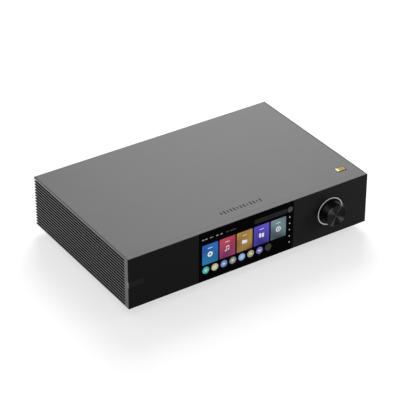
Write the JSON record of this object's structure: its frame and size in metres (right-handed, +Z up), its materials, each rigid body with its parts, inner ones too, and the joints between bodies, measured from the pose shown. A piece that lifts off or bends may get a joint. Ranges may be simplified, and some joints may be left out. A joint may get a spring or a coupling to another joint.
{
  "type": "desktop dac",
  "caption": "Full-width desktop audio converter: finned grey case on four round feet, black front with touch screen and lit volume knob, rear row of audio, data and mains sockets.",
  "frame": {"origin": "on the surface the feet stand on, at the middle of the overall box", "axes": "+Z up, front faces -Y, +X to the right seen from the front"},
  "size_m": [0.388, 0.2746, 0.0903],
  "materials": {
    "satin_grey": "bead-blasted and anodised grey",
    "fascia_black": "fine matt black",
    "touch_glass": "black-backed gloss glass",
    "smoked_window": "smoked, satin",
    "light_guide": "frosted white, lit",
    "knob_black": "turned and anodised black",
    "gilt": "polished gilt",
    "zinc_steel": "bright zinc plated",
    "black_screw": "black oxide",
    "nickel": "satin nickel plated",
    "rubber": "matt",
    "foot_grey": "turned, anodised",
    "rear_black": "fine-texture powder coat",
    "black_plastic": "moulded",
    "white_plastic": "moulded",
    "board_green": "solder mask",
    "screen_module": "display module",
    "tape_yellow": "wound polyester tape",
    "heatsink_black": "black anodised extrusion",
    "capacitor_sleeve": "shrunk sleeve",
    "fuse_glass": "clear tube"
  },
  "bodies": {
    "root": {"top_cover": "satin_grey", "side_panel_left": "satin_grey", "side_panel_right": "satin_grey", "front_frame": "satin_grey", "rear_panel": "rear_black", "bottom_plate": "rear_black", "drive_hatch": "rear_black", "feet": "foot_grey", "foot_pads": "rubber", "case_screws": "black_screw", "frame_screws": "zinc_steel", "fascia_left": "fascia_black", "fascia_right": "fascia_black", "touch_glass": "touch_glass", "infrared_window": "smoked_window", "lcd_module": "screen_module", "display_board": "board_green", "display_bracket": "zinc_steel", "light_ring": "light_guide", "knob_surround": "fascia_black", "ring_led_board": "board_green", "encoder_body": "zinc_steel", "encoder_nut": "nickel", "gold_badge": "gilt", "mains_inlet": "black_plastic", "mains_pins": "nickel", "rocker_housing": "black_plastic", "xlr_output_jacks": "nickel", "xlr_output_pins": "gilt", "xlr_input_jacks": "nickel", "xlr_input_inserts": "black_plastic", "phono_shells": "gilt", "phono_cores": "white_plastic", "optical_jacks": "black_plastic", "usb_jacks": "nickel", "network_jack": "nickel", "video_jack": "nickel", "trigger_jacks": "black_plastic", "antenna_jacks": "gilt", "transformer": "tape_yellow", "transformer_clamp": "zinc_steel", "transformer_bolt": "zinc_steel", "power_capacitors": "capacitor_sleeve", "processor_heatsink": "heatsink_black", "board_standoffs": "nickel", "solid_state_drive": "board_green", "power_board": "board_green", "main_board": "board_green", "dac_board": "board_green"},
    "rotor": {"encoder_rotor": "black_plastic"},
    "knob": {"volume_knob": "knob_black", "encoder_shaft": "nickel", "grub_screw": "black_screw"},
    "fuse_tray": {"fuse_drawer": "black_plastic", "fuse": "fuse_glass"},
    "rocker": {"power_rocker": "black_plastic"},
    "latch_left": {"latch_tab_left": "nickel"},
    "latch_right": {"latch_tab_right": "nickel"},
    "shutter_lower": {"optical_shutter_lower": "black_plastic"},
    "shutter_upper": {"optical_shutter_upper": "black_plastic"}
  },
  "joints": [
    {"name": "knob_spin", "type": "hinge", "parent": "root", "child": "rotor", "pos_m": [0.1316, -0.12275, 0.0513], "axis": [0, 1, 0], "continuous": true},
    {"name": "knob_press", "type": "slide", "parent": "rotor", "child": "knob", "axis": [0, 1, 0], "range_m": [0, 0.0008], "stiffness_N_per_m": 3000, "springref_m": -0.0005},
    {"name": "power_rocker_tilt", "type": "hinge", "parent": "root", "child": "rocker", "pos_m": [-0.13, 0.12425, 0.0515], "axis": [1, 0, 0], "range_deg": [-18, 0]},
    {"name": "fuse_drawer_pull", "type": "slide", "parent": "root", "child": "fuse_tray", "axis": [0, 1, 0], "range_m": [0, 0.02]},
    {"name": "latch_left_press", "type": "slide", "parent": "root", "child": "latch_left", "axis": [0, -1, 0], "range_m": [0, 0.0015], "stiffness_N_per_m": 1500, "springref_m": -0.0005},
    {"name": "latch_right_press", "type": "slide", "parent": "root", "child": "latch_right", "axis": [0, -1, 0], "range_m": [0, 0.0015], "stiffness_N_per_m": 1500, "springref_m": -0.0005},
    {"name": "shutter_lower_swing", "type": "hinge", "parent": "root", "child": "shutter_lower", "pos_m": [-0.03, 0.12485, 0.0427], "axis": [-1, 0, 0], "range_deg": [0, 78], "stiffness_Nm_per_rad": 0.0004, "springref_deg": -22.92},
    {"name": "shutter_upper_swing", "type": "hinge", "parent": "root", "child": "shutter_upper", "pos_m": [-0.03, 0.12485, 0.0667], "axis": [-1, 0, 0], "range_deg": [0, 78], "stiffness_Nm_per_rad": 0.0004, "springref_deg": -22.92}
  ]
}
